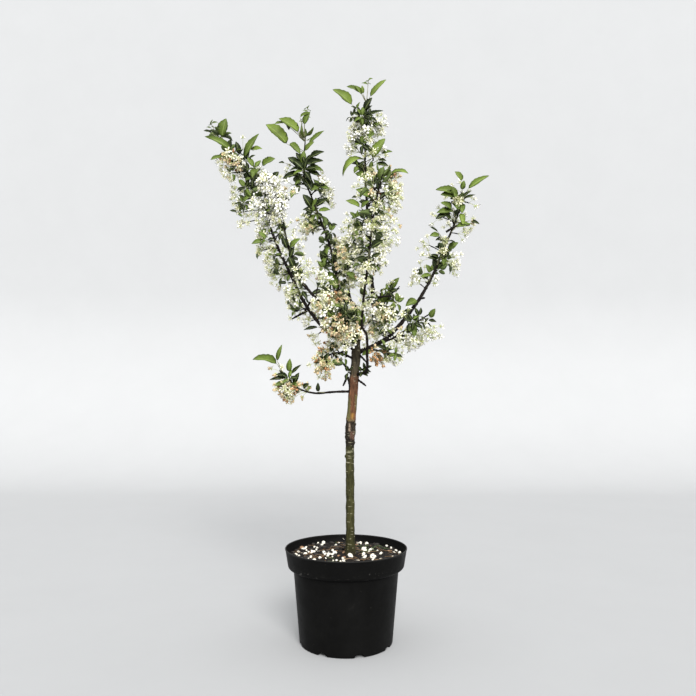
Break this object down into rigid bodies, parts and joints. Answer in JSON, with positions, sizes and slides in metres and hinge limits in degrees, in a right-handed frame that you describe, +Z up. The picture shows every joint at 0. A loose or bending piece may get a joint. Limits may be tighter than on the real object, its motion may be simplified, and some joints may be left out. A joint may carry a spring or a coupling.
{
  "type": "potted apple tree",
  "caption": "Young grafted apple tree in blossom in a round black nursery pot, with a straight stem, upswept boughs, small leaves and white flowers.",
  "frame": {"origin": "centre of the pot's flat underside, on the floor", "axes": "+Z up; -Y towards the viewer of the picture; +X to that viewer's right"},
  "size_m": [0.7094, 0.457, 1.3326],
  "materials": {
    "black_plastic": "matt black moulded pot",
    "potting_mix": "dark crumbly potting mix",
    "bark": "olive brown bark",
    "dark_bark": "dark brown bark",
    "foliage": "fresh green leaves and white blossom"
  },
  "bodies": {
    "root": {"pot": "black_plastic", "potting_mix": "potting_mix", "trunk": "bark", "leader": "dark_bark", "centre_bough": "dark_bark", "left_bough": "dark_bark", "left_inner_bough": "dark_bark", "left_centre_bough": "dark_bark", "back_bough": "dark_bark", "right_bough": "dark_bark", "right_low_limb": "dark_bark", "fork_rise_limb": "dark_bark", "fork_low_right_limb": "dark_bark", "inner_right_limb": "dark_bark", "fork_front_limb": "dark_bark", "fork_left_limb": "dark_bark", "low_left_limb": "dark_bark", "leader_lower": "foliage", "leader_middle": "foliage", "leader_tip": "foliage", "centre_lower": "foliage", "centre_tip": "foliage", "left_lower": "foliage", "left_middle": "foliage", "left_tip": "foliage", "left_inner_lower": "foliage", "left_inner_tip": "foliage", "left_centre_lower": "foliage", "left_centre_middle": "foliage", "left_centre_tip": "foliage", "back_lower": "foliage", "back_tip": "foliage", "right_lower": "foliage", "right_tip": "foliage", "right_low_spray": "foliage", "fork_rise_spray": "foliage", "fork_low_right_spray": "foliage", "inner_right_spray": "foliage", "fork_front_spray": "foliage", "fork_left_spray": "foliage", "low_left_spray": "foliage"}
  },
  "joints": []
}
